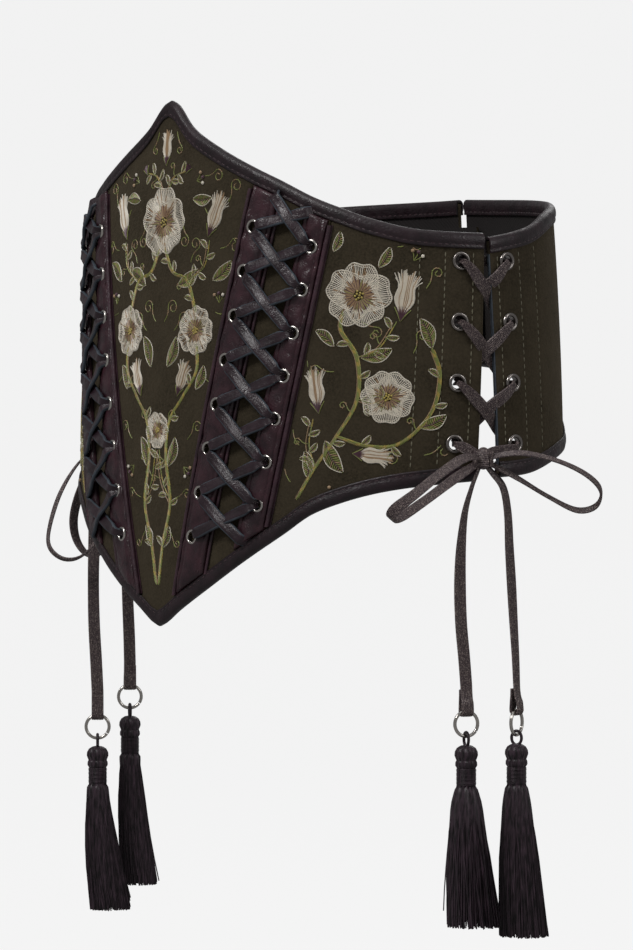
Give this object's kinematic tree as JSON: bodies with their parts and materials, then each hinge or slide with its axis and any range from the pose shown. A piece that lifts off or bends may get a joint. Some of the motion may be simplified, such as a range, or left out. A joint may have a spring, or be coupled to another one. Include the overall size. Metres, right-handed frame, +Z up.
{
  "type": "corset belt",
  "caption": "Underbust corset belt in worn form: suede panels with V-shaped front lacing, laced side gaps, bows, and tails that end in tassels.",
  "frame": {"origin": "middle of the waist section, where the belt sits round a body", "axes": "+Z up, the front faces -Y, the wearer's left is +X"},
  "size_m": [0.3292, 0.1842, 0.3799],
  "materials": {
    "suede": "dark olive-brown suede, brushed nap",
    "leather": "dark aubergine-brown aniline leather, soft gloss",
    "piping": "dusky plum leather piping, soft gloss",
    "leather_lace": "dark plum-brown leather thong with slate-blue cut edges",
    "woven_lace": "flat woven lace, waxed, lengthwise ribs",
    "metal": "gunmetal silver, slightly worn",
    "yarn": "dark aubergine viscose yarn, soft sheen"
  },
  "bodies": {
    "root": {"centre_front_panel": "suede", "back_placket": "leather", "lacing_gusset_left": "suede", "inner_strip_left": "leather", "outer_strip_left": "leather", "side_panel_left": "suede", "back_panel_left": "suede", "centre_piping_left": "piping", "side_piping_left": "piping", "front_top_binding_left": "leather", "front_bottom_binding_left": "leather", "back_top_binding_left": "leather", "back_bottom_binding_left": "leather", "front_lace_left": "leather_lace", "side_lace_left": "woven_lace", "front_side_eyelet_1_left": "metal", "back_side_eyelet_1_left": "metal", "front_side_eyelet_2_left": "metal", "back_side_eyelet_2_left": "metal", "front_side_eyelet_3_left": "metal", "back_side_eyelet_3_left": "metal", "front_side_eyelet_4_left": "metal", "back_side_eyelet_4_left": "metal", "bow_left": "woven_lace", "front_tail_left": "woven_lace", "front_ring_left": "metal", "front_tassel_left": "yarn", "back_tail_left": "woven_lace", "back_ring_left": "metal", "back_tassel_left": "yarn", "lacing_gusset_right": "suede", "inner_strip_right": "leather", "outer_strip_right": "leather", "side_panel_right": "suede", "back_panel_right": "suede", "centre_piping_right": "piping", "side_piping_right": "piping", "front_top_binding_right": "leather", "front_bottom_binding_right": "leather", "back_top_binding_right": "leather", "back_bottom_binding_right": "leather", "front_lace_right": "leather_lace", "side_lace_right": "woven_lace", "front_side_eyelet_1_right": "metal", "back_side_eyelet_1_right": "metal", "front_side_eyelet_2_right": "metal", "back_side_eyelet_2_right": "metal", "front_side_eyelet_3_right": "metal", "back_side_eyelet_3_right": "metal", "front_side_eyelet_4_right": "metal", "back_side_eyelet_4_right": "metal", "bow_right": "woven_lace", "front_tail_right": "woven_lace", "front_ring_right": "metal", "front_tassel_right": "yarn", "back_tail_right": "woven_lace", "back_ring_right": "metal", "back_tassel_right": "yarn"}
  },
  "joints": []
}
